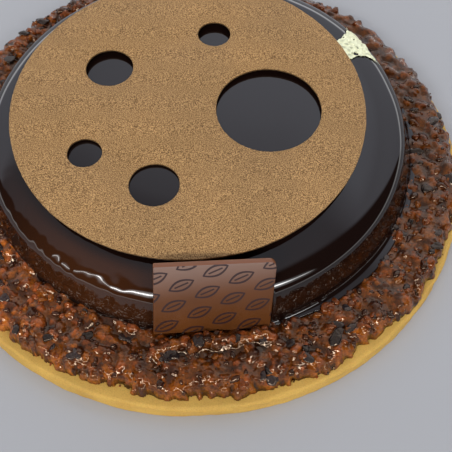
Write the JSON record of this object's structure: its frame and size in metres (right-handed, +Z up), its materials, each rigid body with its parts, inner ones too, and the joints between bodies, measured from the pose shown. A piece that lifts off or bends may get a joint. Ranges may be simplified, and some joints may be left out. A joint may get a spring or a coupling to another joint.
{
  "type": "sachertorte cake",
  "caption": "Round mirror-glazed chocolate cake on a shortbread disc, ringed with caramelised nibs, topped by a pierced cocoa disc, a plaque and gold leaf.",
  "frame": {"origin": "middle of the shortbread's underside, on the surface it stands on", "axes": "+Z up, the chocolate plaque faces -Y, +X to its right"},
  "size_m": [0.22, 0.22, 0.045],
  "materials": {
    "shortbread": "dry baked shortbread, fine crumb",
    "praline": "wet caramel over roasted nuts and cocoa nibs",
    "glaze": "mirror-smooth dark cocoa glaze",
    "cocoa": "fine bronze-coloured cocoa spray on dark chocolate",
    "chocolate": "satin milk chocolate with a thin printed pattern",
    "gold": "crumpled pale gold leaf"
  },
  "bodies": {
    "root": {"shortbread_base": "shortbread", "praline_layer": "praline", "glazed_cake": "glaze", "cocoa_disc": "cocoa", "chocolate_plaque": "chocolate", "gold_leaf": "gold"}
  },
  "joints": []
}
